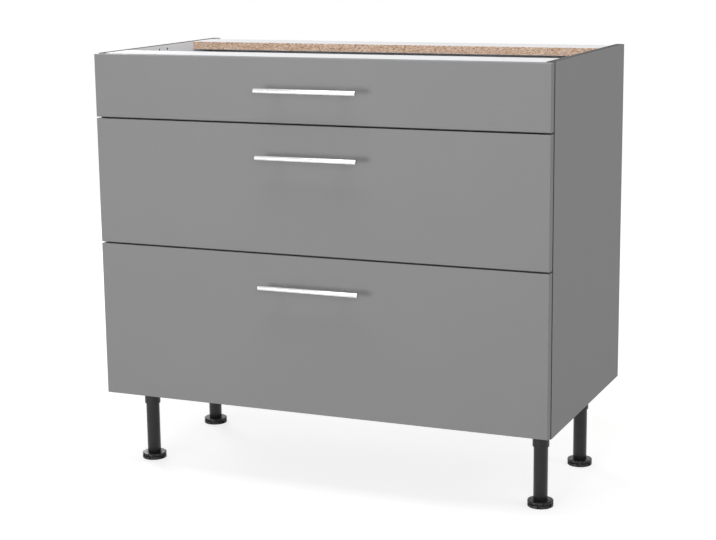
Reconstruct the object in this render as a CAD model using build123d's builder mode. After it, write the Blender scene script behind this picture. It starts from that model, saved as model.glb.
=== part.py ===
from build123d import *
import os

# Kitchen base cabinet with three drawers, millimetres. X runs to the right, the drawer fronts
# face -Y, Z is up from the floor. The origin is on the floor under the middle of the whole.

# ---- driving dimensions: carcass ----
cabinet_width = 900.0
carcass_depth = 465.0
leg_height = 154.0
board = 16.0                    # melamine-faced chipboard of the carcass
edge_ease = 0.8                 # broken corners of an edge band
rail_width = 80.0               # the two flat rails that stand in for a top
back_thickness = 3.2            # hardboard back
back_inset = 38.0               # free space behind the back, for pipes
groove_depth = 6.0
groove_play = 0.4               # the groove is this much wider than the back
groove_end_play = 0.5           # from the back's edge to the groove's floor
back_top_drop = 2.0

# ---- driving dimensions: fronts ----
front_thickness = 16.0
front_ease = 1.0
front_gap = 2.5                 # between the fronts and the carcass
top_reveal = 1.0
bottom_reveal = 3.5
side_reveal = 1.0
reveal = 3.0                    # between two fronts
upper_front_height = 118.5
middle_front_height = 238.5
lower_front_height = 298.5

# ---- driving dimensions: handles ----
handle_length = 200.0
handle_spacing = 128.0          # between the two posts
handle_diameter = 10.0
handle_ease = 0.6               # broken edge at the bar's ends
post_diameter = 7.0
handle_stand = 22.0             # clear room for the fingers
handle_drop = 58.0              # from a front's top edge down to its handle

# ---- driving dimensions: steel drawer sides and runners ----
sheet = 1.2                     # rolled steel of the sides and runners
bend = 1.3                      # how far from its corner a fold begins
runner_gap = 12.5               # from a carcass side to a drawer side
runner_flange = 12.0            # lower flange, on which the rear roller runs
runner_lip = 3.4                # its upstand, which guides the roller
runner_cap = 6.0                # upper flange, which keeps the roller down
runner_set_back = 2.0           # behind the carcass's front edge
runner_rear_room = 21.8         # between the runner's end and the back
runner_drop = 2.0               # the runner's foot lies this far under the drawer side's foot
drawer_travel = 300.0
upper_lift = 10.0               # a drawer side's foot above its front's lower edge
middle_lift = 10.0
lower_lift = 18.0
upper_headroom = 7.5            # from the upper drawer's side to the rail above it
deep_side_height = 150.0
ledge = 14.0                    # inward fold that carries the drawer bottom
hem = 5.0                       # outward fold along the top of a side
hem_lip = 8.0
track_reach = 10.3              # outward flange that rides on the front roller
track_leg = 9.0                 # the flange's welded upright
tab_width = 19.0                # rear tab, screwed to the drawer back
tab_lift = 24.0
tab_drop = 10.0
box_board = 16.0                # chipboard of the drawer's bottom and back
box_play = 0.7                  # clears the inner edge of the steel side's fold
box_back_drop = 6.0             # the drawer back ends this far under the side's top

# ---- driving dimensions: rollers and stub axles ----
small_sides = 12                # flats of the small round pieces that repeat
large_sides = 36                # flats of the feet's rings and of their sockets
rear_roller_radius = 10.0
cap_play = 0.5                  # over the rear roller, under the runner's upper flange
track_clear = 1.1               # from the runner's upper flange to the drawer's track
front_roller_lift = 0.8         # the front roller clears the lower flange by this
roller_play = 0.3               # from a roller to the flange that it carries or runs on
axle_radius = 2.0
axle_play = 0.05
rivet_radius = 3.2
rivet_height = 0.7
front_roller_width = 7.8
rear_roller_width = 6.8
roller_side_play = 0.3
shoulder_radius = 3.5
shoulder_length = 2.0           # carries the rear roller past the runner's lip
front_roller_set_back = 16.0    # behind the runner's front end
rear_roller_set_back = 12.0     # before the drawer side's rear end
cap_cut = 14.0                  # the upper flange is cut away this far round the front roller
stop_height = 8.0               # tongue that stops the rear roller

# ---- driving dimensions: front brackets ----
bracket_sheet = 1.5
bracket_reach = 26.0
bracket_length = 38.0
bracket_lift = 22.0
bracket_headroom = 18.0

# ---- driving dimensions: bores ----
raster = 32.0
spare_hole_radius = 2.5
spare_hole_depth = 12.0
spare_hole_drop = 8.0           # two spare raster holes near the top of each side
spare_hole_start = 203.0
worktop_hole_radius = 2.5
worktop_hole_inset = 90.0       # from the inner face of a side

# ---- driving dimensions: legs ----
leg_inset = 43.0                # from a side's outer face to the leg's axis
front_leg_inset = 80.0          # from the carcass's front edge
rear_leg_inset = 121.0          # from its rear edge
tube_radius = 13.25
tube_wall = 2.2
tube_nut_height = 20.0
foot_flange_height = 12.0
foot_gap = 0.3
foot_radius = 24.0
foot_groove_radius = 21.5
foot_ring_height = 5.5
foot_groove_height = 1.5
foot_notches = 12
foot_notch_depth = 1.8
foot_notch_turn = 5.0           # degrees from a notch's middle to its edge
stem_radius = 5.0
stem_play = 0.2
stem_height = 58.0
socket_radius = 15.5
socket_play = 0.1
socket_length = 39.5
leg_plate_thickness = 3.0
leg_plate_size = 62.0
leg_plate_corner = 10.0
leg_tab_width = 25.0
leg_tab_end = 9.0               # from a side's outer face to the tab's end
gusset_thickness = 2.5
gusset_reach = 10.0
gusset_height = 14.0

# ---- places worked out from them ----
half_width = cabinet_width / 2
inner_half = half_width - board
carcass_bottom = leg_height
carcass_height = (upper_front_height + middle_front_height + lower_front_height
                  + 2 * reveal + top_reveal + bottom_reveal)
carcass_top = carcass_bottom + carcass_height
carcass_mid_z = (carcass_bottom + carcass_top) / 2
handle_projection = handle_stand + handle_diameter
y_rear = (carcass_depth + front_gap + front_thickness + handle_projection) / 2
y_carcass = y_rear - carcass_depth
y_front_back = y_carcass - front_gap
y_front = y_front_back - front_thickness
y_bar = y_front - handle_stand - handle_diameter / 2
y_back_face = y_rear - back_inset - back_thickness
carcass_mid_y = y_carcass + carcass_depth / 2
floor_top = carcass_bottom + board

lower_front_bottom = carcass_bottom + bottom_reveal
middle_front_bottom = lower_front_bottom + lower_front_height + reveal
upper_front_bottom = middle_front_bottom + middle_front_height + reveal
upper_side_height = (upper_front_height + top_reveal - board - upper_lift - upper_headroom)

drawer_half = inner_half - runner_gap
y_runner = y_carcass + runner_set_back
runner_length = y_back_face - runner_rear_room - y_runner
y_drawer_end = y_front_back + runner_length
y_front_roller = y_runner + front_roller_set_back
y_rear_roller = y_drawer_end - rear_roller_set_back
rear_axis_height = sheet + roller_play + rear_roller_radius
runner_height = 2 * sheet + roller_play + 2 * rear_roller_radius + cap_play
track_height = runner_height + track_clear
front_roller_radius = (track_height - roller_play - sheet - front_roller_lift) / 2
front_axis_height = track_height - roller_play - front_roller_radius
track_over_foot = track_height - runner_drop
y_stop = y_rear_roller - drawer_travel - rear_roller_radius

leg_x = half_width - leg_inset
leg_rows = {"front": y_carcass + front_leg_inset, "rear": y_rear - rear_leg_inset}
signs = {"left": -1, "right": 1}
tube_bottom = foot_flange_height + foot_gap
tube_top = leg_height - leg_plate_thickness

os.makedirs("parts", exist_ok=True)


def write(part, label):
    part.label = label
    export_step(part, f"parts/{label}.step")


def section_plane(sign, y):
    """Upright plane across the cabinet: its x is the distance outwards from the middle."""
    return Plane(origin=(0, y, 0), x_dir=(sign, 0, 0), z_dir=(0, -sign, 0))


def plan_plane(sign, z):
    """Level plane: its x is the distance outwards from the middle, its y runs to the rear."""
    return Plane(origin=(0, 0, z), x_dir=(sign, 0, 0), z_dir=(0, 0, sign))


def front_plane(y):
    """Upright plane that faces the front: extrusions run forwards."""
    return Plane.XZ.offset(-y)


def folded(points, thickness):
    """Edges of a strip of sheet folded along the points, its thickness on their left.

    A fold is one short flat across its corner."""
    corners = [Vector(*point) for point in points]
    path = [corners[0]]
    for before, corner, after in zip(corners, corners[1:], corners[2:]):
        path.append(corner + (before - corner).normalized() * bend)
        path.append(corner + (after - corner).normalized() * bend)
    path.append(corners[-1])
    with BuildLine() as fold:
        Polyline(*path)
        offset(amount=thickness, side=Side.LEFT, kind=Kind.INTERSECTION)
    return fold.edges()


def discs(plane, points, radius):
    """Round faces on a plane, to be raised or sunk by the part that uses them."""
    with BuildSketch(plane) as faces:
        with Locations(*points):
            Circle(radius)
    return faces.sketch


def prisms(plane, points, radius, sides=small_sides, hole=False):
    """Many-sided faces for round pieces that repeat and, with hole, for their bores."""
    with BuildSketch(plane) as faces:
        with Locations(*points):
            RegularPolygon(radius, sides, major_radius=not hole)
    return faces.sketch


# ---- carcass ----
groove_width = back_thickness + groove_play
groove_mid = y_back_face + groove_width / 2
spare_points = [
    (y_carcass + spare_hole_start + step * raster, carcass_top - spare_hole_drop)
    for step in range(2)
]


def side_panel(sign, label):
    """Side of the carcass, grooved for the back and bored on its inner face."""
    inner = Plane.YZ.offset(sign * inner_half)
    with BuildPart() as panel:
        with BuildSketch(inner):
            with Locations((carcass_mid_y, carcass_mid_z)):
                Rectangle(carcass_depth, carcass_height)
        extrude(amount=sign * board)
        chamfer(panel.edges().filter_by(Axis.Z).group_by(Axis.Y)[0], edge_ease)
        with BuildSketch(inner):
            with Locations((groove_mid, carcass_mid_z)):
                Rectangle(groove_width, carcass_height)
        extrude(amount=sign * groove_depth, mode=Mode.SUBTRACT)
        extrude(prisms(inner, spare_points, spare_hole_radius, hole=True),
                amount=sign * spare_hole_depth, mode=Mode.SUBTRACT)
    write(panel.part, label)


for side, sign in signs.items():
    side_panel(sign, f"side_panel_{side}")

with BuildPart() as bottom_panel:
    with BuildSketch(Plane.XY.offset(carcass_bottom)):
        with Locations((0, carcass_mid_y)):
            Rectangle(2 * inner_half, carcass_depth)
    extrude(amount=board)
    chamfer(bottom_panel.edges().filter_by(Axis.X).group_by(Axis.Y)[0], edge_ease)
    with BuildSketch(Plane.XY.offset(floor_top)):
        with Locations((0, groove_mid)):
            Rectangle(2 * inner_half, groove_width)
    extrude(amount=-groove_depth, mode=Mode.SUBTRACT)
write(bottom_panel.part, "bottom_panel")


def rail(start, label):
    """Flat rail between the sides, with two bores for the worktop's screws."""
    middle = start + rail_width / 2
    hole_x = inner_half - worktop_hole_inset
    underside = Plane.XY.offset(carcass_top - board)
    with BuildPart() as strip:
        with BuildSketch(underside):
            with Locations((0, middle)):
                Rectangle(2 * inner_half, rail_width)
        extrude(amount=board)
        chamfer(strip.edges().filter_by(Axis.X).group_by(Axis.Y)[0], edge_ease)
        extrude(discs(underside, [(-hole_x, middle), (hole_x, middle)], worktop_hole_radius),
                amount=board, mode=Mode.SUBTRACT)
    write(strip.part, label)


rail(y_carcass, "front_rail")
rail(y_back_face - rail_width, "rear_rail")

with BuildPart() as back_panel:
    back_bottom = floor_top - groove_depth + groove_end_play
    back_top = carcass_top - back_top_drop
    with BuildSketch(front_plane(y_back_face + back_thickness)):
        with Locations((0, (back_bottom + back_top) / 2)):
            Rectangle(2 * (inner_half + groove_depth - groove_end_play), back_top - back_bottom)
    extrude(amount=back_thickness)
write(back_panel.part, "back_panel")

# ---- runners ----
drawer_feet = {
    "upper": upper_front_bottom + upper_lift,
    "middle": middle_front_bottom + middle_lift,
    "lower": lower_front_bottom + lower_lift,
}
runner_feet = {name: foot - runner_drop for name, foot in drawer_feet.items()}


def stub_axle(sign, start, length, outwards, y, z):
    """Axle on a steel wall, its end riveted over: adds to the part that is being built."""
    way = sign * outwards
    extrude(prisms(Plane.YZ.offset(sign * start), [(y, z)], axle_radius), amount=way * length)
    extrude(prisms(Plane.YZ.offset(sign * start + way * length), [(y, z)], rivet_radius),
            amount=way * rivet_height)


def roller_pair(start, width, radius, y, z, label):
    """Plastic rollers on their stub axles, one on each side, from start outwards."""
    with BuildPart() as wheels:
        for sign in signs.values():
            with BuildSketch(Plane.YZ.offset(sign * start)):
                with Locations((y, z)):
                    Circle(radius)
                    RegularPolygon(axle_radius + axle_play, small_sides, major_radius=False,
                                   mode=Mode.SUBTRACT)
            extrude(amount=sign * width)
    write(wheels.part, label)


def runner(sign, foot, label):
    """Roller runner on a carcass side: a folded channel with its stub axle and stop tongue."""
    flange_edge = inner_half - runner_flange
    cap_edge = inner_half - runner_cap
    web = inner_half - sheet
    top = foot + runner_height
    with BuildPart() as channel:
        with BuildSketch(section_plane(sign, y_runner)):
            make_face(folded(
                [(flange_edge, foot + runner_lip), (flange_edge, foot), (inner_half, foot),
                 (inner_half, top), (cap_edge, top)], sheet))
        extrude(amount=-sign * runner_length)
        with BuildSketch(section_plane(sign, y_runner)):
            with Locations((web, top)):
                Rectangle(runner_flange, bend + sheet, align=(Align.MAX, Align.MAX))
        extrude(amount=-sign * (front_roller_set_back + cap_cut), mode=Mode.SUBTRACT)
        with BuildSketch(section_plane(sign, y_stop)):
            with Locations((cap_edge, top)):
                Rectangle(runner_cap - sheet, stop_height, align=(Align.MIN, Align.MAX))
        extrude(amount=sign * sheet)
        stub_axle(sign, web, front_roller_width + 2 * roller_side_play, -1, y_front_roller,
                  foot + front_axis_height)
    write(channel.part, label)


for name, foot in runner_feet.items():
    for side, sign in signs.items():
        runner(sign, foot, f"{name}_runner_{side}")
    roller_pair(inner_half - sheet - roller_side_play - front_roller_width, front_roller_width,
                front_roller_radius, y_front_roller, foot + front_axis_height,
                f"{name}_runner_rollers")

# ---- drawers ----


def drawer_side(sign, foot, height, label):
    """Folded steel side: ledge, wall and hem in one strip, with its track, tab and stub axle."""
    wall = drawer_half - sheet
    shelf = foot + height - sheet
    track = foot + track_over_foot
    axis_z = foot + rear_axis_height - runner_drop
    with BuildPart() as steel:
        with BuildSketch(section_plane(sign, y_front_back)):
            make_face(folded(
                [(drawer_half - ledge, foot), (drawer_half, foot), (drawer_half, shelf),
                 (drawer_half + hem, shelf), (drawer_half + hem, shelf - hem_lip)], sheet))
            make_face(folded(
                [(drawer_half + sheet, track - track_leg), (drawer_half + sheet, track),
                 (drawer_half + track_reach, track)], sheet))
        extrude(amount=-sign * runner_length)
        with BuildSketch(section_plane(sign, y_drawer_end)):
            with Locations((wall, foot + tab_lift)):
                Rectangle(tab_width, height - tab_lift - tab_drop, align=(Align.MAX, Align.MIN))
        extrude(amount=sign * sheet)
        extrude(prisms(Plane.YZ.offset(sign * drawer_half), [(y_rear_roller, axis_z)],
                       shoulder_radius), amount=sign * shoulder_length)
        stub_axle(sign, drawer_half + shoulder_length, rear_roller_width + 2 * roller_side_play, 1,
                  y_rear_roller, axis_z)
    write(steel.part, label)


def brackets(foot, height, label):
    """The two angles that hold a drawer's sides to its front."""
    wall = drawer_half - sheet
    with BuildPart() as angles:
        for sign in signs.values():
            with BuildSketch(plan_plane(sign, foot + bracket_lift)):
                make_face(folded(
                    [(wall - bracket_reach, y_front_back), (wall, y_front_back),
                     (wall, y_front_back + bracket_length)], bracket_sheet))
            extrude(amount=sign * (height - bracket_lift - bracket_headroom))
    write(angles.part, label)


def handle(z, label):
    """Bar handle on two posts."""
    posts = [(-handle_spacing / 2, z), (handle_spacing / 2, z)]
    with BuildPart() as bar:
        extrude(discs(Plane.YZ.offset(-handle_length / 2), [(y_bar, z)], handle_diameter / 2),
                amount=handle_length)
        chamfer(bar.edges().filter_by(GeomType.CIRCLE), handle_ease)
        extrude(discs(front_plane(y_front), posts, post_diameter / 2), amount=y_front - y_bar)
    write(bar.part, label)


def drawer(name, front_bottom, front_height, height):
    """Front, steel box and handle of one drawer, each piece in a file of its own."""
    prefix = f"{name}_drawer"
    foot = drawer_feet[name]
    base = foot + sheet
    box_width = 2 * (drawer_half - sheet - box_play)
    back_face = y_drawer_end - sheet

    with BuildPart() as front:
        with BuildSketch(front_plane(y_front_back)):
            with Locations((0, front_bottom + front_height / 2)):
                Rectangle(cabinet_width - 2 * side_reveal, front_height)
        extrude(amount=front_thickness)
        chamfer(front.faces().sort_by(Axis.Y)[0].edges(), front_ease)
    write(front.part, f"{prefix}_front")

    for side, sign in signs.items():
        drawer_side(sign, foot, height, f"{prefix}_side_{side}")

    with BuildPart() as bottom:
        with BuildSketch(Plane.XY.offset(base)):
            with Locations((0, (y_front_back + back_face) / 2)):
                Rectangle(box_width, back_face - y_front_back)
        extrude(amount=box_board)
    write(bottom.part, f"{prefix}_bottom")

    with BuildPart() as back:
        back_low = base + box_board
        back_high = foot + height - box_back_drop
        with BuildSketch(front_plane(back_face)):
            with Locations((0, (back_low + back_high) / 2)):
                Rectangle(box_width, back_high - back_low)
        extrude(amount=box_board)
    write(back.part, f"{prefix}_back")

    brackets(foot, height, f"{prefix}_brackets")
    handle(front_bottom + front_height - handle_drop, f"{prefix}_handle")
    roller_pair(drawer_half + shoulder_length + roller_side_play, rear_roller_width,
                rear_roller_radius, y_rear_roller, foot + rear_axis_height - runner_drop,
                f"{prefix}_rollers")


drawer("upper", upper_front_bottom, upper_front_height, upper_side_height)
drawer("middle", middle_front_bottom, middle_front_height, deep_side_height)
drawer("lower", lower_front_bottom, lower_front_height, deep_side_height)

# ---- legs ----


def leg_plate(x, y, label):
    """Moulded plate under the bottom panel, with the leg's socket, gussets and a side tab."""
    underside = carcass_bottom - leg_plate_thickness
    mouth = carcass_bottom - socket_length
    tab_end = (half_width - leg_tab_end) * x / abs(x)
    gusset_start = socket_radius - gusset_thickness
    with BuildPart() as plate:
        with BuildSketch(Plane.XY.offset(underside)):
            with Locations((x, y)):
                square = Rectangle(leg_plate_size, leg_plate_size)
            chamfer(square.vertices(), leg_plate_corner)
            with Locations(((x + tab_end) / 2, y)):
                Rectangle(abs(tab_end - x), leg_tab_width)
        extrude(amount=leg_plate_thickness)
        extrude(prisms(Plane.XY.offset(mouth), [(x, y)], socket_radius, large_sides),
                amount=underside - mouth)
        for turn in range(45, 360, 90):
            rib = Plane(origin=(x, y, underside), x_dir=Vector(1, 0, 0).rotate(Axis.Z, turn),
                        z_dir=Vector(0, -1, 0).rotate(Axis.Z, turn))
            with BuildSketch(rib):
                with BuildLine():
                    Polyline((gusset_start, 0), (socket_radius + gusset_reach, 0),
                             (socket_radius, -gusset_height), (gusset_start, -gusset_height),
                             close=True)
                make_face()
            extrude(amount=gusset_thickness / 2, both=True)
        extrude(prisms(Plane.XY.offset(mouth), [(x, y)], tube_radius + socket_play, large_sides,
                       hole=True), amount=underside - mouth, mode=Mode.SUBTRACT)
    write(plate.part, label)


def leg_tube(x, y, label):
    """Leg tube, closed at its foot but for the bore of the adjusting stem."""
    bottom = Plane.XY.offset(tube_bottom)
    with BuildPart() as tube:
        extrude(discs(bottom, [(x, y)], tube_radius), amount=tube_top - tube_bottom)
        extrude(discs(Plane.XY.offset(tube_bottom + tube_nut_height), [(x, y)],
                      tube_radius - tube_wall),
                amount=tube_top - tube_bottom - tube_nut_height, mode=Mode.SUBTRACT)
        extrude(prisms(bottom, [(x, y)], stem_radius + stem_play, hole=True),
                amount=tube_nut_height, mode=Mode.SUBTRACT)
    write(tube.part, label)


def leg_foot(x, y, label):
    """Adjusting foot: ring, groove, notched flange and stem."""
    flange_bottom = foot_ring_height + foot_groove_height
    notch_step = 360 / foot_notches
    with BuildPart() as foot:
        extrude(prisms(Plane.XY, [(x, y)], foot_radius, large_sides), amount=foot_ring_height)
        extrude(prisms(Plane.XY, [(x, y)], foot_groove_radius, large_sides), amount=flange_bottom)
        with BuildSketch(Plane(origin=(x, y, flange_bottom))):
            with BuildLine():
                rim = []
                for notch in range(foot_notches):
                    middle = notch * notch_step
                    rim += [
                        Vector(foot_radius - foot_notch_depth, 0).rotate(Axis.Z, middle),
                        Vector(foot_radius, 0).rotate(Axis.Z, middle + foot_notch_turn),
                        Vector(foot_radius, 0).rotate(Axis.Z, middle + notch_step / 2),
                        Vector(foot_radius, 0).rotate(Axis.Z, middle + notch_step - foot_notch_turn),
                    ]
                Polyline(*rim, close=True)
            make_face()
        extrude(amount=foot_flange_height - flange_bottom)
        extrude(prisms(Plane.XY.offset(foot_flange_height), [(x, y)], stem_radius),
                amount=stem_height)
    write(foot.part, label)


for row, y in leg_rows.items():
    for side, sign in signs.items():
        leg_plate(sign * leg_x, y, f"leg_plate_{row}_{side}")
        leg_tube(sign * leg_x, y, f"leg_tube_{row}_{side}")
        leg_foot(sign * leg_x, y, f"leg_foot_{row}_{side}")
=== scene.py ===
import math

import bmesh
import bpy
from mathutils import Matrix, Vector


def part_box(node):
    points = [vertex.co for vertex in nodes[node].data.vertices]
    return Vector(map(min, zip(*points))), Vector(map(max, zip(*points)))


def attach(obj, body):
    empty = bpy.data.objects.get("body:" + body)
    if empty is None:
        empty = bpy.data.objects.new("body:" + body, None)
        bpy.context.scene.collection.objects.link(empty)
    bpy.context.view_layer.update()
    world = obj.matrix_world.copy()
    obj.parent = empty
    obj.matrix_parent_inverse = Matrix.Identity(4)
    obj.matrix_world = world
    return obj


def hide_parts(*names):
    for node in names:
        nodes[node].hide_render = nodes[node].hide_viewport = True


# Looks of a kitchen base cabinet with three drawers. Metres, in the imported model's frame:
# X to the right, the drawer fronts face -Y, Z up from the floor.
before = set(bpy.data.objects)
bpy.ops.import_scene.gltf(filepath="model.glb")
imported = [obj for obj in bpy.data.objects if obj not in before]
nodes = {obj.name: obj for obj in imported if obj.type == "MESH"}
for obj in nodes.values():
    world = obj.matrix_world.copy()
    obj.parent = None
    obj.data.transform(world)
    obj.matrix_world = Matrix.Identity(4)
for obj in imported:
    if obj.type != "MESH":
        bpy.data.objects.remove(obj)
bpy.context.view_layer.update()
scene = bpy.context.scene
scene.view_settings.view_transform = "Standard"
drawerNames = ("upper", "middle", "lower")
sides = {"left": -1, "right": 1}
legNames = [f"{row}_{side}" for row in ("front", "rear") for side in sides]
mm = 0.001


def srgb(red, green=None, blue=None):
    # a colour written as it looks on screen, 0 to 255; one number alone is a grey
    channels = (red, red, red) if green is None else (red, green, blue)
    linear = [
        c / 255 / 12.92 if c <= 10 else ((c / 255 + 0.055) / 1.055) ** 2.4 for c in channels
    ]
    return (*linear, 1.0)


class Wire:
    # an output in a node tree: sums, products and comparisons add their Math nodes
    def __init__(self, tree, socket):
        self.tree = tree
        self.socket = socket

    def maths(self, operation, first, second=None):
        node = self.tree.nodes.new("ShaderNodeMath")
        node.operation = operation
        for place, value in enumerate((first, second)):
            if isinstance(value, Wire):
                self.tree.links.new(value.socket, node.inputs[place])
            elif value is not None:
                node.inputs[place].default_value = value
        return Wire(self.tree, node.outputs[0])

    def __add__(self, other):
        return self.maths("ADD", self, other)

    def __radd__(self, other):
        return self.maths("ADD", other, self)

    def __sub__(self, other):
        return self.maths("SUBTRACT", self, other)

    def __rsub__(self, other):
        return self.maths("SUBTRACT", other, self)

    def __mul__(self, other):
        return self.maths("MULTIPLY", self, other)

    def __rmul__(self, other):
        return self.maths("MULTIPLY", other, self)

    def __gt__(self, other):
        return self.maths("GREATER_THAN", self, other)

    def __lt__(self, other):
        return self.maths("LESS_THAN", self, other)

    def __abs__(self):
        return self.maths("ABSOLUTE", self)


class Finish:
    # a material with one Principled shader: constants go on its own sockets
    def __init__(self, name, **constants):
        self.material = bpy.data.materials.new(name)
        self.material.use_nodes = True
        self.tree = self.material.node_tree
        self.shader = self.tree.nodes["Principled BSDF"]
        for socket, value in constants.items():
            self.shader.inputs[socket.replace("_", " ")].default_value = value
        self.place = self.node("ShaderNodeTexCoord", output="Object")
        self.x, self.y, self.z = (
            self.node("ShaderNodeSeparateXYZ", values={"Vector": self.place}, output=axis)
            for axis in "XYZ"
        )

    def node(self, kind, settings=None, values=None, output=0):
        node = self.tree.nodes.new(kind)
        for name, value in (settings or {}).items():
            if name == "stops":
                ramp = node.color_ramp
                while len(ramp.elements) < len(value):
                    ramp.elements.new(1.0)
                for element, (position, colour) in zip(ramp.elements, value):
                    element.position = position
                    element.color = colour
            else:
                setattr(node, name, value)
        for name, value in (values or {}).items():
            if isinstance(value, Wire):
                self.tree.links.new(value.socket, node.inputs[name])
            else:
                node.inputs[name].default_value = value
        return Wire(self.tree, node.outputs[output])

    def stretched(self, scale):
        return self.node("ShaderNodeMapping", values={"Vector": self.place, "Scale": scale})

    def noise(self, grain, detail=2.0, stretch=(1, 1, 1)):
        # grain is the size of one speck, in metres
        return self.node("ShaderNodeTexNoise", values={
            "Vector": self.stretched(stretch), "Scale": 1 / grain, "Detail": detail})

    def cells(self, grain, stretch):
        return self.node("ShaderNodeTexVoronoi", values={
            "Vector": self.stretched(stretch), "Scale": 1 / grain}, output="Color")

    def ramp(self, wire, *stops):
        return self.node("ShaderNodeValToRGB", {"stops": stops}, {"Fac": wire})

    def fade(self, noise, first, second):
        # noise hardly leaves the middle of its range, so the colours meet there
        return self.ramp(noise, (0.3, first), (0.7, second))

    def mix(self, mask, first, second, blend="MIX"):
        # 6, 7 and output 2 are the Mix node's colour sockets
        return self.node("ShaderNodeMix", {"data_type": "RGBA", "blend_type": blend},
                         {0: mask, 6: first, 7: second}, output=2)

    def feed(self, socket, wire):
        self.tree.links.new(wire.socket, self.shader.inputs[socket])

    def bump(self, height, depth):
        # depth is the height of the relief, in metres
        self.feed("Normal", self.node("ShaderNodeBump", values={
            "Height": height, "Distance": depth}, output="Normal"))


def wear(node, finish):
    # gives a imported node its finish
    nodes[node].data.materials.clear()
    nodes[node].data.materials.append(finish.material)


# boards
boards = {
    "thickness": 16 * mm,
    "inset": 0.25 * mm,            # how near a coordinate has to be to count as on a face
    "ease": 0.9 * mm,              # how deep the broken corner of an edge band reaches
    "margin": 2 * mm,              # bores and grooves lie further than this from a board's edges
    "grey": srgb(141),
    "greyBand": srgb(138),
    "sideBandAndGapShade": srgb(78),          # the sides' dark edge band, darkened further as painted gap shade
    "light": srgb(232, 232, 234),
    # painted shade: the inside of bores and grooves, much darker than the raw chipboard there
    "bore": srgb(58, 44, 36),
    "speckGrain": 0.9 * mm,
    "driftGrain": 140 * mm,
    "speckle": 7.0,                # the speckle's strength next to the slow drift of tone
    "greySpread": 0.035,           # how far the tone drifts
    "bandSpread": 0.02,
    "lightSpread": 0.015,
    "pearl": 0.45 * mm,            # grain of the pressed melamine surface
    "pearlDepth": 0.02 * mm,
    "gloss": 0.35,
    "greyMatt": 0.52,              # least roughness of grey and of light boards
    "lightMatt": 0.40,
    "pearlMatt": 0.12,             # more of it from the pearl, on a side's edges, on raw chipboard
    "edgeMatt": 0.3,
    "rawMatt": 0.4,
}
chipboard = {
    "flake": 1.5 * mm,
    "stretch": {"x": (0.6, 1, 1.1), "z": (1, 1.1, 0.6)},      # flakes lie long along the board
    "wood": ((0.0, srgb(154, 114, 86)), (0.2, srgb(206, 168, 138)),
             (0.55, srgb(224, 192, 166)), (1.0, srgb(244, 226, 210))),
    "pitGrain": 0.7 * mm,
    "pits": ((0.30, srgb(120, 90, 70)), (0.44, srgb(255))),
    "pitShare": 0.6,
}
hardboard = {
    "fibre": 1.1 * mm,
    "stretch": (0.5, 1, 0.8),
    "browns": (srgb(112, 82, 58), srgb(150, 116, 86)),
    "depth": 0.03 * mm,
    "matt": 0.42,
    "rearMatt": 0.3,               # more roughness on the bare rear
}
# a face's axis and its end of the node's box
faces = {"left": ("x", 0), "right": ("x", 1), "front": ("y", 0), "rear": ("y", 1),
         "under": ("z", 0), "top": ("z", 1)}


def within(wire, low, high):
    return (wire > low) * (wire < high)


def onFace(finish, node, face):
    # a mask: 1 on one face of the node's box
    axis, end = faces[face]
    edge = getattr(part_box(node)[end], axis)
    wire = getattr(finish, axis)
    return wire > edge - boards["inset"] if end else wire < edge + boards["inset"]


def shade(finish, colour, spread):
    # pressed melamine: a fine speckle and a slow drift of tone
    speckle = finish.noise(boards["speckGrain"], detail=3)
    drift = finish.noise(boards["driftGrain"], detail=1)
    tone = 1 + (speckle - 0.5) * spread * boards["speckle"] + (drift - 0.5) * spread
    return finish.node("ShaderNodeVectorMath", {"operation": "SCALE"},
                       {0: colour[:3], "Scale": tone})


def rawShade(finish, along):
    # cut edge of chipboard: flat flakes with pits between them
    stretch = chipboard["stretch"][along]
    flakes = finish.cells(chipboard["flake"], stretch)
    tone = finish.node("ShaderNodeSeparateColor", values={"Color": flakes}, output="Red")
    fine = finish.noise(chipboard["pitGrain"], detail=4, stretch=stretch)
    return finish.mix(chipboard["pitShare"], finish.ramp(tone, *chipboard["wood"]),
                      finish.ramp(fine, *chipboard["pits"]), "MULTIPLY")


def melamine(node):
    return Finish(node, IOR=1.45, Specular_IOR_Level=boards["gloss"])


def pressFace(finish, matt):
    # the pearl of a pressed surface, in its roughness and its relief
    pearl = finish.noise(boards["pearl"])
    finish.feed("Roughness", matt + pearl * boards["pearlMatt"])
    finish.bump(pearl, boards["pearlDepth"])


def frontFinish(node):
    low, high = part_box(node)
    finish = melamine(node)
    edge = within(finish.y, low.y + boards["inset"], high.y - boards["inset"])
    finish.feed("Base Color", finish.mix(
        edge, shade(finish, boards["grey"], boards["greySpread"]),
        shade(finish, boards["greyBand"], boards["bandSpread"])))
    pressFace(finish, boards["greyMatt"])
    return finish


def sideFinish(node):
    # grey outside, light inside, dark bands on the front and top edges that also carry painted
    # shade of the gap by the fronts, painted shade in bores and grooves, the rest of the edge raw
    low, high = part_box(node)
    finish = melamine(node)
    outer = max(abs(low.x), abs(high.x))
    inner = outer - boards["thickness"]
    near, margin = boards["inset"], boards["margin"]
    reach = abs(finish.x)
    edge = within(reach, inner + near, outer - near)
    bandAndGapShade = ((finish.y < low.y + boards["ease"]) + onFace(finish, node, "top")) > 0.5
    # inside bores and grooves, away from the board's edges, where shade is painted
    paintedBoreShade = (within(finish.y, low.y + margin, high.y - margin)
            * within(finish.z, low.z + margin, high.z - margin))
    colour = finish.mix(reach < inner + near,
                        shade(finish, boards["grey"], boards["greySpread"]),
                        shade(finish, boards["light"], boards["lightSpread"]))
    # bores and grooves get a dark brown as painted shade in place of raw chipboard
    cut = finish.mix(paintedBoreShade, rawShade(finish, "z"), boards["bore"])
    # front and top edge band: its own dark colour, darkened further as painted shade of the gap
    # beside the drawer fronts
    cut = finish.mix(bandAndGapShade, cut, shade(finish, boards["sideBandAndGapShade"], boards["bandSpread"]))
    finish.feed("Base Color", finish.mix(edge, colour, cut))
    pressFace(finish, boards["greyMatt"] + edge * boards["edgeMatt"])
    return finish


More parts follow.
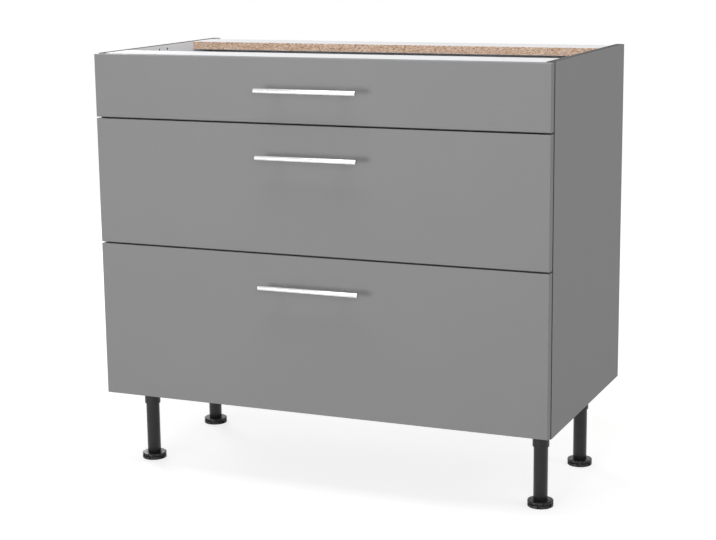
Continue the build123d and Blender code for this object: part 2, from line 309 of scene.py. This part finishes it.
def lightFinish(node, rawFaces, frontBand=None):
    # rawFaces are bare chipboard, frontBand is the colour of a banded front edge
    finish = melamine(node)
    raw = onFace(finish, node, rawFaces[0])
    for face in rawFaces[1:]:
        raw = raw + onFace(finish, node, face)
    raw = raw > 0.5
    colour = finish.mix(raw, shade(finish, boards["light"], boards["lightSpread"]),
                        rawShade(finish, "x"))
    if frontBand:
        colour = finish.mix(onFace(finish, node, "front"), colour, frontBand)
    finish.feed("Base Color", colour)
    pressFace(finish, boards["lightMatt"] + raw * boards["rawMatt"])
    return finish


def hardboardFinish(node):
    # painted inside, bare brown fibre behind
    finish = Finish(node, Specular_IOR_Level=boards["gloss"])
    rear = onFace(finish, node, "rear")
    fibre = finish.noise(hardboard["fibre"], detail=5, stretch=hardboard["stretch"])
    finish.feed("Base Color", finish.mix(
        rear, shade(finish, boards["light"], boards["lightSpread"]),
        finish.fade(fibre, *hardboard["browns"])))
    finish.feed("Roughness", hardboard["matt"] + rear * hardboard["rearMatt"])
    finish.bump(fibre, hardboard["depth"])
    return finish


for name in drawerNames:
    wear(f"{name}_drawer_front", frontFinish(f"{name}_drawer_front"))
    wear(f"{name}_drawer_bottom", lightFinish(f"{name}_drawer_bottom", ("rear", "front")))
    wear(f"{name}_drawer_back", lightFinish(f"{name}_drawer_back", ("under", "left", "right")))
for side in sides:
    wear(f"side_panel_{side}", sideFinish(f"side_panel_{side}"))
wear("bottom_panel", lightFinish("bottom_panel", ("rear", "left", "right"), boards["grey"]))
wear("front_rail", lightFinish("front_rail", ("rear", "left", "right")))
wear("rear_rail", lightFinish("rear_rail", ("front", "rear", "left", "right")))
wear("back_panel", hardboardFinish("back_panel"))
print("boards dressed")


# steel and plastic: matt is the least roughness, spread what the grain adds to it
coat = {"colour": srgb(205, 206, 207), "drift": 0.015, "grain": 0.8 * mm, "depth": 0.02 * mm,
        "matt": 0.34, "spread": 0.14}
brushed = {"grain": 0.25 * mm, "stretch": (0.01, 1, 1), "tones": (srgb(206), srgb(232)),
           "depth": 0.006 * mm, "matt": 0.16, "spread": 0.12}
zinc = {"grain": 6 * mm, "tones": (srgb(168, 170, 176), srgb(196, 198, 202)),
        "matt": 0.3, "spread": 0.25}
plastic = {
    "grain": 0.5 * mm,
    "driftGrain": 18 * mm,
    "depth": 0.01 * mm,
    "spread": 0.14,
    # tones, gloss, matt
    "black": ((srgb(22), srgb(30)), 0.42, 0.3),
    "nylon": ((srgb(214, 212, 206), srgb(226, 224, 218)), 0.5, 0.4),
    "cover": ((srgb(205), srgb(212)), 0.5, 0.4),
}


def powderCoat(name):
    finish = Finish(name, IOR=1.5)
    peel = finish.noise(coat["grain"])
    finish.feed("Base Color", shade(finish, coat["colour"], coat["drift"]))
    finish.feed("Roughness", coat["matt"] + peel * coat["spread"])
    finish.bump(peel, coat["depth"])
    return finish


def brushedSteel(name):
    finish = Finish(name, Metallic=1.0)
    lines = finish.noise(brushed["grain"], detail=3, stretch=brushed["stretch"])
    finish.feed("Base Color", finish.fade(lines, *brushed["tones"]))
    finish.feed("Roughness", brushed["matt"] + lines * brushed["spread"])
    finish.bump(lines, brushed["depth"])
    return finish


def zincPlate(name):
    finish = Finish(name, Metallic=1.0)
    bloom = finish.noise(zinc["grain"], detail=4)
    finish.feed("Base Color", finish.fade(bloom, *zinc["tones"]))
    finish.feed("Roughness", zinc["matt"] + bloom * zinc["spread"])
    return finish


def mouldedPlastic(name, tones, gloss, matt):
    finish = Finish(name, IOR=1.46, Specular_IOR_Level=gloss)
    grain = finish.noise(plastic["grain"])
    finish.feed("Base Color", finish.fade(finish.noise(plastic["driftGrain"]), *tones))
    finish.feed("Roughness", matt + grain * plastic["spread"])
    finish.bump(grain, plastic["depth"])
    return finish


steelCoat = powderCoat("runnerSteel")
handleSteel = brushedSteel("handleSteel")
bracketZinc = zincPlate("bracketZinc")
screwZinc = zincPlate("screwZinc")
blackPlastic = mouldedPlastic("blackPlastic", *plastic["black"])
rollerNylon = mouldedPlastic("rollerNylon", *plastic["nylon"])
coverPlastic = mouldedPlastic("coverPlastic", *plastic["cover"])
for node in nodes:
    if node.endswith("_handle"):
        wear(node, handleSteel)
    elif node.endswith("_rollers"):
        wear(node, rollerNylon)
    elif node.endswith("_brackets"):
        wear(node, bracketZinc)
    elif node.startswith("leg_"):
        wear(node, blackPlastic)
    elif "_runner_" in node or "_drawer_side_" in node:
        wear(node, steelCoat)
print("steel and plastic dressed")


# turned and moulded pieces
turning = {
    "smoothUpTo": math.radians(32),
    "onAxis": 1e-7,                # a point nearer the axis than this closes the end
    # an outer corner's points: how far in from the rim and up, as shares of the rounding
    "lowCorner": ((1, 0), (0.3, 0.3), (0, 1)),
    "highCorner": ((0, -1), (0.3, -0.3), (1, 0)),
}


def finishedMesh(name, shape):
    mesh = bpy.data.meshes.new(name)
    bmesh.ops.recalc_face_normals(shape, faces=shape.faces)
    shape.to_mesh(mesh)
    shape.free()
    mesh.shade_smooth()
    mesh.set_sharp_from_angle(angle=turning["smoothUpTo"])
    return mesh


def addObject(name, data):
    made = bpy.data.objects.new(name, data)
    scene.collection.objects.link(made)
    return made


def standIn(name, shape, finish, body, node):
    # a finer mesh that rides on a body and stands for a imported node
    mesh = finishedMesh(name, shape)
    mesh.materials.append(finish.material)
    piece = addObject(name, mesh)
    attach(piece, body)
    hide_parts(node)


def corner(radius, height, rounding, points):
    return [(radius - inward * rounding, height + rise * rounding, *cut)
            for inward, rise, *cut in points]


def rounded(points, radius, steps=3, mostOfRun=0.45):
    # the same line with its inner corners rounded
    line = [Vector(points[0])]
    for before, bend, after in zip(points, points[1:], points[2:]):
        before, bend, after = Vector(before), Vector(bend), Vector(after)
        reach = min(radius, (before - bend).length * mostOfRun, (after - bend).length * mostOfRun)
        start = bend + (before - bend).normalized() * reach
        end = bend + (after - bend).normalized() * reach
        for step in range(steps + 1):
            t = step / steps
            line.append(start * (1 - t) ** 2 + bend * (2 * t * (1 - t)) + end * t ** 2)
    return line + [Vector(points[-1])]


def bridge(shape, lower, upper):
    # faces between two rings of points, of which one may be a single point on the axis
    segments = max(len(lower), len(upper))
    for step in range(segments):
        after = (step + 1) % segments
        if len(lower) == 1 and len(upper) > 1:
            shape.faces.new((lower[0], upper[after], upper[step]))
        elif len(upper) == 1 and len(lower) > 1:
            shape.faces.new((lower[step], lower[after], upper[0]))
        elif len(lower) > 1:
            shape.faces.new((lower[step], lower[after], upper[after], upper[step]))


def turned(shape, profile, place, segments=64, closed=False):
    # revolves a line of (radius, height) points round the Z axis of the place matrix
    rings = []
    for radius, height in profile:
        if radius < turning["onAxis"]:
            rings.append([shape.verts.new(place @ Vector((0, 0, height)))])
        else:
            rings.append([
                shape.verts.new(place @ Vector((radius * math.cos(turn), radius * math.sin(turn),
                                                height)))
                for turn in (2 * math.pi * step / segments for step in range(segments))
            ])
    pairs = list(zip(rings, rings[1:]))
    if closed:
        pairs.append((rings[-1], rings[0]))
    for lower, upper in pairs:
        bridge(shape, lower, upper)


def notchedDisc(shape, profile, place, count, width, depth, start=0.0, segments=144):
    # a turned disc whose rim is cut by evenly spaced upright notches
    pitch = 2 * math.pi / count
    rings = []
    for radius, height, cut in profile:
        ring = []
        for step in range(segments):
            turn = 2 * math.pi * step / segments
            away = abs((turn - start + pitch / 2) % pitch - pitch / 2) * radius
            reach = radius - depth if cut and away < width / 2 else radius
            ring.append(shape.verts.new(place @ Vector((reach * math.cos(turn),
                                                        reach * math.sin(turn), height))))
        rings.append(ring)
    for lower, upper in zip(rings, rings[1:]):
        bridge(shape, lower, upper)
    shape.faces.new(reversed(rings[0]))
    shape.faces.new(rings[-1])


def axisPlace(origin, axis):
    # a matrix that puts local Z along the axis
    return Matrix.Translation(origin) @ Vector(axis).to_track_quat("Z", "Y").to_matrix().to_4x4()


handle = {
    "postRadius": 3.5 * mm,
    "spacing": 128 * mm,
    "endRound": 0.8 * mm,
    "flare": 0.5 * mm,             # the post widens a little where it meets the front
    "flareLength": 0.9 * mm,
}


def addHandle(name):
    node = f"{name}_drawer_handle"
    low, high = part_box(node)
    radius = (high.z - low.z) / 2
    end = Vector((low.x, low.y + radius, (low.z + high.z) / 2))
    length = high.x - low.x
    shape = bmesh.new()
    bar = rounded([(0, 0), (radius, 0), (radius, length), (0, length)], handle["endRound"])
    turned(shape, bar, axisPlace(end, (1, 0, 0)), segments=96)
    post = handle["postRadius"]
    reach = high.y - end.y
    stem = [(0, 0), (post, 0), (post, reach - handle["flareLength"]),
            (post + handle["flare"], reach), (0, reach)]
    for way in sides.values():
        foot = Vector((way * handle["spacing"] / 2, end.y, end.z))
        turned(shape, stem, axisPlace(foot, (0, 1, 0)), segments=48)
    standIn(f"{name}_bar_handle", shape, handleSteel, f"{name}_drawer", node)


for name in drawerNames:
    addHandle(name)
print("handles made")

leg = {
    "wall": 2.2 * mm,
    "floorTop": 20 * mm,           # the tube is closed up to here, apart from the stem's bore
    "boreRadius": 5.2 * mm,
    "tubeRound": 0.7 * mm,
    "footRound": 0.7 * mm,
    "ringTop": 5.5 * mm,
    "grooveHeight": 1.5 * mm,
    "grooveRadius": 21.5 * mm,
    "flangeTop": 12 * mm,
    # the rims' points, as a corner's, and whether the slots or notches cut them
    "ringFoot": ((2, 0, False), (0.6, 0.35, True), (0, 1, True)),
    "ringHead": ((0, -1, True), (0.5, 0, True)),
    "flangeFoot": ((1, 0, False), (0, 1, True)),
    "flangeHead": ((0, -1.5, True), (0.5, -0.5, True), (2, -0.2, False)),
    "slots": 6,
    "slotDepth": 3.4 * mm,
    "slotWidth": 4.4 * mm,
    "slotTurn": math.radians(39),
    "notches": 12,
    "notchDepth": 1.8 * mm,
    "notchWidth": 3.6 * mm,
    "collarRadius": 16.2 * mm,
    "collarTopRadius": 14.6 * mm,
    "collarFoot": 2.1 * mm,        # how deep the collar starts below the flange's top
    "collarDrop": 0.07 * mm,       # and how far its own top lies below it
    "stemRadius": 5 * mm,
    "stemTop": 70 * mm,
    "threadPitch": 2 * mm,
    "threadDepth": 0.5 * mm,
    "thread": ((0, 0), (0.3, 0), (0.5, 1), (0.8, 1)),         # shares of pitch and depth
}


def addTube(name):
    node = f"leg_tube_{name}"
    low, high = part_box(node)
    centre = (low + high) / 2
    radius = (high.x - low.x) / 2
    height = high.z - low.z
    inner = radius - leg["wall"]
    loop = [(leg["boreRadius"], 0), *corner(radius, 0, leg["tubeRound"], turning["lowCorner"]),
            (radius, height), (inner, height), (inner, leg["floorTop"]),
            (leg["boreRadius"], leg["floorTop"])]
    shape = bmesh.new()
    turned(shape, loop, Matrix.Translation((centre.x, centre.y, low.z)), closed=True)
    standIn(f"{name}_leg_tube", shape, blackPlastic, "carcass", node)


def addFoot(name):
    node = f"leg_foot_{name}"
    low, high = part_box(node)
    centre = (low + high) / 2
    radius = (high.x - low.x) / 2
    soft, ringTop, top = leg["footRound"], leg["ringTop"], leg["flangeTop"]
    flangeLow = ringTop + leg["grooveHeight"]
    place = Matrix.Translation((centre.x, centre.y, 0))
    shape = bmesh.new()
    ring = [*corner(radius, 0, soft, leg["ringFoot"]),
            *corner(radius, ringTop, soft, leg["ringHead"]),
            (leg["grooveRadius"], ringTop, False)]
    notchedDisc(shape, ring, place, leg["slots"], leg["slotWidth"], leg["slotDepth"],
                leg["slotTurn"])
    waist = [(0, ringTop - soft), (leg["grooveRadius"], ringTop - soft),
             (leg["grooveRadius"], flangeLow + soft), (0, flangeLow + soft)]
    turned(shape, waist, place)
    flange = [*corner(radius, flangeLow, soft, leg["flangeFoot"]),
              *corner(radius, top, soft, leg["flangeHead"])]
    notchedDisc(shape, flange, place, leg["notches"], leg["notchWidth"], leg["notchDepth"])
    hub = [(0, top - leg["collarFoot"]), (leg["collarRadius"], top - leg["collarFoot"]),
           (leg["collarTopRadius"], top - leg["collarDrop"]),
           (leg["stemRadius"], top - leg["collarDrop"])]
    turns = int((leg["stemTop"] - top) / leg["threadPitch"])
    for step in range(turns):
        hub += [(leg["stemRadius"] - inward * leg["threadDepth"],
                 top + (step + rise) * leg["threadPitch"]) for rise, inward in leg["thread"]]
    hub.append((0, top + turns * leg["threadPitch"]))
    turned(shape, hub, place, segments=48)
    standIn(f"{name}_leg_foot", shape, blackPlastic, f"foot_{name}", node)


for name in legNames:
    addTube(name)
    addFoot(name)
print("legs made")

roller = {
    "boreRadius": 2.05 * mm,
    "hubRadius": 3.6 * mm,
    "rimWidth": 2.0 * mm,
    "dish": 1.4 * mm,              # how deep both faces are dished between hub and rim
    "slope": 0.3 * mm,
    "rounding": 0.5 * mm,
}


def addRollers(node):
    # a pair of rollers, which ride on the body of the same name
    low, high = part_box(node)
    centre = (low + high) / 2
    radius = (high.z - low.z) / 2
    inner = min(abs(v.co.x) for v in nodes[node].data.vertices)
    width = high.x - inner
    bore, hub, rim = roller["boreRadius"], roller["hubRadius"], radius - roller["rimWidth"]
    dish, slope, soft = roller["dish"], roller["slope"], roller["rounding"]
    loop = [(bore, 0), (hub, 0), (hub + slope, dish), (rim - slope, dish), (rim, 0),
            *corner(radius, 0, soft, turning["lowCorner"]),
            *corner(radius, width, soft, turning["highCorner"]),
            (rim, width), (rim - slope, width - dish), (hub + slope, width - dish),
            (hub, width), (bore, width)]
    shape = bmesh.new()
    for way in sides.values():
        start = Vector((way * inner, centre.y, centre.z))
        turned(shape, loop, axisPlace(start, (way, 0, 0)), segments=48, closed=True)
    standIn(f"{node}_wheels", shape, rollerNylon, node, node)


for name in drawerNames:
    addRollers(f"{name}_drawer_rollers")
    addRollers(f"{name}_runner_rollers")
print("rollers made")


# what repeats: fasteners and covers, set out by Geometry Nodes
def scatterTree():
    # puts a copy of Head on every point, its Z axis along the point's aim
    tree = bpy.data.node_groups.new("scatterHeads", "GeometryNodeTree")
    for name, kind in (("Points", "Geometry"), ("Head", "Object"), ("Head Size", "Float"),
                       ("Spin", "Float"), ("Seed", "Int"), ("Finish", "Material")):
        tree.interface.new_socket(name, in_out="INPUT", socket_type=f"NodeSocket{kind}")
    tree.interface.new_socket("Heads", in_out="OUTPUT", socket_type="NodeSocketGeometry")

    def add(kind, **settings):
        node = tree.nodes.new(kind)
        for name, value in settings.items():
            setattr(node, name, value)
        return node.inputs, node.outputs

    given = add("NodeGroupInput")[1]
    result = add("NodeGroupOutput")[0]
    headIn, headOut = add("GeometryNodeObjectInfo")
    aimIn, aimOut = add("GeometryNodeInputNamedAttribute", data_type="FLOAT_VECTOR")
    aimIn["Name"].default_value = "aim"
    alignIn, alignOut = add("FunctionNodeAlignRotationToVector", axis="Z")
    placeIn, placeOut = add("GeometryNodeInstanceOnPoints")
    chanceIn, chanceOut = add("FunctionNodeRandomValue", data_type="FLOAT")
    spinIn, spinOut = add("ShaderNodeCombineXYZ")
    turnIn, turnOut = add("GeometryNodeRotateInstances")
    realizeIn, realizeOut = add("GeometryNodeRealizeInstances")
    dressIn, dressOut = add("GeometryNodeSetMaterial")
    for output, socket in (
        (given["Points"], placeIn["Points"]),
        (given["Head"], headIn["Object"]),
        (headOut["Geometry"], placeIn["Instance"]),
        (given["Head Size"], placeIn["Scale"]),
        (aimOut["Attribute"], alignIn["Vector"]),
        (alignOut["Rotation"], placeIn["Rotation"]),
        (given["Spin"], chanceIn[3]),              # 3 is Max and output 1 Value, as numbers
        (given["Seed"], chanceIn["Seed"]),
        (chanceOut[1], spinIn["Z"]),
        (placeOut["Instances"], turnIn["Instances"]),
        (spinOut["Vector"], turnIn["Rotation"]),
        (turnOut["Instances"], realizeIn["Geometry"]),
        (realizeOut["Geometry"], dressIn["Geometry"]),
        (given["Finish"], dressIn["Material"]),
        (dressOut["Geometry"], result["Heads"]),
    ):
        tree.links.new(output, socket)
    return tree


def scatter(name, body, head, finish, places, size, seed, spin=math.tau):
    # places: list of (point, aim); the result is one plain mesh
    mesh = bpy.data.meshes.new(name)
    mesh.from_pydata([point for point, aim in places], [], [])
    aims = mesh.attributes.new("aim", "FLOAT_VECTOR", "POINT")
    for row, (point, aim) in zip(aims.data, places):
        row.vector = aim
    points = addObject(f"{name}_points", mesh)
    modifier = points.modifiers.new("scatter", "NODES")
    modifier.node_group = headTree
    values = {"Head": head, "Head Size": size, "Spin": spin, "Seed": seed,
              "Finish": finish.material}
    for socket in headTree.interface.items_tree:
        if socket.in_out == "INPUT" and socket.name in values:
            modifier[socket.identifier] = values[socket.name]
    shown = points.evaluated_get(bpy.context.evaluated_depsgraph_get())
    plain = bpy.data.meshes.new_from_object(shown)
    bpy.data.objects.remove(points)
    piece = addObject(name, plain)
    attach(piece, body)


headShape = {
    "segments": 32,
    "screw": (0.42, 0.35),         # height by radius, and the dome's share of the height
    "flat": (0.16, 0.5),
    "cover": (0.1, 0.6),
    "shoulder": (0.93, 0.35),      # share of the radius, and of the dome that is still to rise
    "crown": (0.62, 0.55, 0.3, 0.18),     # the flat top's rings, as shares of the radius
    "crossReach": 0.55,            # one of the crown's rings
    "crossHalf": 0.16,             # half the width of the cross's arms
    "crossFloor": 0.35,            # share of the height
}


def headTemplate(name, height, dome, recess=True):
    # a head of radius 1: domed, with a cross recess where it is a screw's
    shoulder, rise = headShape["shoulder"]
    profile = [(1.0, 0.0), (1.0, 1 - dome), (shoulder, 1 - dome * rise)]
    profile += [(share, 1.0) for share in headShape["crown"]]
    shape = bmesh.new()
    rings = []
    for share, lift in profile:
        ring = []
        for step in range(headShape["segments"]):
            turn = 2 * math.pi * step / headShape["segments"]
            x, y = share * math.cos(turn), share * math.sin(turn)
            inCross = (recess and share <= headShape["crossReach"]
                       and min(abs(x), abs(y)) < headShape["crossHalf"])
            z = height * (headShape["crossFloor"] if inCross else lift)
            ring.append(shape.verts.new((x, y, z)))
        rings.append(ring)
    for lower, upper in zip(rings, rings[1:]):
        bridge(shape, lower, upper)
    shape.faces.new(reversed(rings[0]))
    shape.faces.new(rings[-1])
    return addObject(name, finishedMesh(name, shape))


headTree = scatterTree()
screwHead = headTemplate("screwHead", *headShape["screw"])
flatHead = headTemplate("flatHead", *headShape["flat"])
coverHead = headTemplate("coverHead", *headShape["cover"], recess=False)

fixings = {
    "runnerScrew": 3.2 * mm,       # all heads and covers by their radius
    "runnerHoles": (37 * mm, 133 * mm, 325 * mm),   # behind the runner's front end
    "runnerSteel": 1.2 * mm,
    "plateScrew": 3.6 * mm,
    "plateReach": 22 * mm,
    "bracketScrew": 3.3 * mm,
    "bracketSteel": 1.5 * mm,
    "bracketReach": 16 * mm,       # in from the bracket's outer side
    "bracketShares": (0.22, 0.78),
    "handleScrew": 4.0 * mm,
    "sideScrew": 3.0 * mm,
    "bottomReach": 6 * mm,         # in from the drawer side, up into the bottom
    "bottomShares": (0.12, 0.5, 0.88),
    "backReach": 9 * mm,           # in from the back's ends, through the side's tab
    "backDrops": (14 * mm, 34 * mm),
    "nail": 1.8 * mm,
    "nailPitch": 110 * mm,
    "cover": 8.5 * mm,
    "coverReach": 24 * mm,
    "coverShares": {"bottom_panel": (0.07, 0.44, 0.93), "front_rail": (0.5,),
                    "rear_rail": (0.5,)},
}


def runnerScrews():
    places = []
    for name in drawerNames:
        for side, way in sides.items():
            low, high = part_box(f"{name}_runner_{side}")
            web = (high.x if way > 0 else low.x) - way * fixings["runnerSteel"]
            middle = (low.z + high.z) / 2
            places += [((web, low.y + back, middle), (-way, 0, 0))
                       for back in fixings["runnerHoles"]]
    scatter("runner_screws", "carcass", flatHead, screwZinc, places,
            fixings["runnerScrew"], seed=3)


def plateScrews():
    places = []
    for name in legNames:
        low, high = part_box(f"leg_tube_{name}")
        middle = (low + high) / 2
        places += [((middle.x + across * fixings["plateReach"],
                     middle.y + along * fixings["plateReach"], high.z), (0, 0, -1))
                   for across in (-1, 1) for along in (-1, 1)]
    scatter("leg_plate_screws", "carcass", screwHead, screwZinc, places,
            fixings["plateScrew"], seed=5)


def bracketScrews(name):
    low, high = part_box(f"{name}_drawer_brackets")
    places = [((way * (high.x - fixings["bracketReach"]), low.y + fixings["bracketSteel"],
                low.z + share * (high.z - low.z)), (0, 1, 0))
              for way in sides.values() for share in fixings["bracketShares"]]
    scatter(f"{name}_bracket_screws", f"{name}_drawer", screwHead, screwZinc,
            places, fixings["bracketScrew"], seed=7)


def handleScrews(name):
    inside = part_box(f"{name}_drawer_front")[1].y
    low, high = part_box(f"{name}_drawer_handle")
    places = [((way * handle["spacing"] / 2, inside, (low.z + high.z) / 2), (0, 1, 0))
              for way in sides.values()]
    scatter(f"{name}_handle_screws", f"{name}_drawer", screwHead, screwZinc,
            places, fixings["handleScrew"], seed=11)


def sideScrews(name):
    # from below into the bottom, and from behind into the back
    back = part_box(f"{name}_drawer_back")[1]
    places = []
    for side, way in sides.items():
        low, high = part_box(f"{name}_drawer_side_{side}")
        inner = min(abs(low.x), abs(high.x)) + fixings["bottomReach"]
        places += [((way * inner, low.y + share * (high.y - low.y), low.z), (0, 0, -1))
                   for share in fixings["bottomShares"]]
        places += [((way * (back.x - fixings["backReach"]), high.y, back.z - drop), (0, 1, 0))
                   for drop in fixings["backDrops"]]
    scatter(f"{name}_side_screws", f"{name}_drawer", screwHead, screwZinc,
            places, fixings["sideScrew"], seed=13)


def backNails():
    # in a row along the rear rail
    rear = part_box("back_panel")[1].y
    low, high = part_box("rear_rail")
    count = int((high.x - low.x) / fixings["nailPitch"])
    start = -(count - 1) / 2 * fixings["nailPitch"]
    places = [((start + step * fixings["nailPitch"], rear, (low.z + high.z) / 2), (0, 1, 0))
              for step in range(count)]
    scatter("back_nails", "carcass", coverHead, screwZinc, places,
            fixings["nail"], seed=1, spin=0.0)


def camCovers():
    places = []
    for node, shares in fixings["coverShares"].items():
        low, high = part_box(node)
        places += [((way * (high.x - fixings["coverReach"]), low.y + share * (high.y - low.y),
                     low.z), (0, 0, -1))
                   for way in sides.values() for share in shares]
    scatter("cam_covers", "carcass", coverHead, coverPlastic, places,
            fixings["cover"], seed=1, spin=0.0)


runnerScrews()
plateScrews()
for name in drawerNames:
    bracketScrews(name)
    handleScrews(name)
    sideScrews(name)
backNails()
camCovers()
for template in (screwHead, flatHead, coverHead):
    bpy.data.objects.remove(template)
print("fixings set out")

# studio
studio = {
    "floorReach": 12,
    "floorColour": 0.45,
    "nearGlow": 0.74,              # the glow adds no light: it only keeps the floor white
    "farGlow": 0.86,               # to the eye, and less so where the shadow falls
    "nearReach": 0.6,
    "farReach": 2.6,
    "ambient": 0.34,
    "aim": (0.0, -0.2, 0.42),
    "boxes": {                     # place, size, power
        "frontBox": ((-1.35, -3.4, 0.46), (1.3, 0.86), 38.5),
        "topBox": ((0.0, -0.75, 2.6), (1.6, 1.0), 21.0),
        "sideBox": ((2.6, -0.1, 2.3), (0.9, 1.2), 11.5),
        "rightBox": ((1.7, -3.2, 1.4), (1.1, 1.3), 25.0),
        "rearBox": ((-2.4, 2.0, 1.5), (1.2, 1.2), 34.0),
    },
}


def even(level):
    return (level, level, level, 1.0)


def seenWhite(tree):
    # 1 where the camera sees a surface straight, in a reflection or through glass
    path = tree.nodes.new("ShaderNodeLightPath")
    seen, mirrored, through = (Wire(tree, path.outputs[f"Is {ray} Ray"])
                               for ray in ("Camera", "Glossy", "Transmission"))
    return (seen + mirrored + through) > 0.5


def addFloor():
    reach = studio["floorReach"]
    corners = [(x * reach, y * reach, 0) for x, y in ((-1, -1), (1, -1), (1, 1), (-1, 1))]
    mesh = bpy.data.meshes.new("floor")
    mesh.from_pydata(corners, [], [(0, 1, 2, 3)])
    floor = addObject("floor", mesh)
    finish = Finish("floorPaint", Base_Color=even(studio["floorColour"]), Roughness=0.9,
                    Specular_IOR_Level=0.0, Emission_Strength=1.0)
    away = finish.node("ShaderNodeVectorMath", {"operation": "LENGTH"}, {0: finish.place},
                       output="Value")
    far = finish.node("ShaderNodeMapRange", {"interpolation_type": "SMOOTHSTEP"}, {
        "Value": away, "From Min": studio["nearReach"], "From Max": studio["farReach"]})
    glow = finish.mix(far, even(studio["nearGlow"]), even(studio["farGlow"]))
    finish.feed("Emission Color", finish.mix(seenWhite(finish.tree), even(0), glow))
    mesh.materials.append(finish.material)


def addSoftbox(name, place, size, power):
    lamp = bpy.data.lights.new(name, "AREA")
    lamp.shape = "RECTANGLE"
    lamp.size, lamp.size_y = size
    lamp.energy = power
    box = addObject(name, lamp)
    box.location = place
    ahead = Vector(studio["aim"]) - Vector(place)
    box.rotation_euler = ahead.to_track_quat("-Z", "Y").to_euler()


def addWorld():
    world = bpy.data.worlds.new("studioAir")
    scene.world = world
    world.use_nodes = True
    tree = world.node_tree
    air = tree.nodes["Background"]
    strength = studio["ambient"] + seenWhite(tree) * (1 - studio["ambient"])
    tree.links.new(strength.socket, air.inputs["Strength"])
    air.inputs["Color"].default_value = even(1)


view = {
    "place": (1.2631, -2.9532, 1.0391),
    "yaw": 23.284,                 # degrees: to the left, down and leaning
    "pitch": 11.42,
    "roll": -0.681,
    "lens": 84.11,
    "sensor": 36,
    "farClip": 60,
}


def addCamera():
    yaw, pitch, roll = (math.radians(view[key]) for key in ("yaw", "pitch", "roll"))
    right = Vector((math.cos(yaw), math.sin(yaw), 0))
    ahead = Vector((-math.sin(yaw) * math.cos(pitch), math.cos(yaw) * math.cos(pitch),
                    -math.sin(pitch)))
    up = right.cross(ahead)
    tiltedRight = math.cos(roll) * right + math.sin(roll) * up
    tiltedUp = math.cos(roll) * up - math.sin(roll) * right
    lens = bpy.data.cameras.new("camera")
    lens.sensor_width = view["sensor"]
    lens.lens = view["lens"]
    lens.clip_end = view["farClip"]
    camera = addObject("camera", lens)
    turn = Matrix((tiltedRight, tiltedUp, -ahead)).transposed().to_4x4()
    camera.matrix_world = Matrix.Translation(view["place"]) @ turn
    scene.camera = camera


addFloor()
for boxName, (place, size, power) in studio["boxes"].items():
    addSoftbox(boxName, place, size, power)
addWorld()
addCamera()
print("studio set")
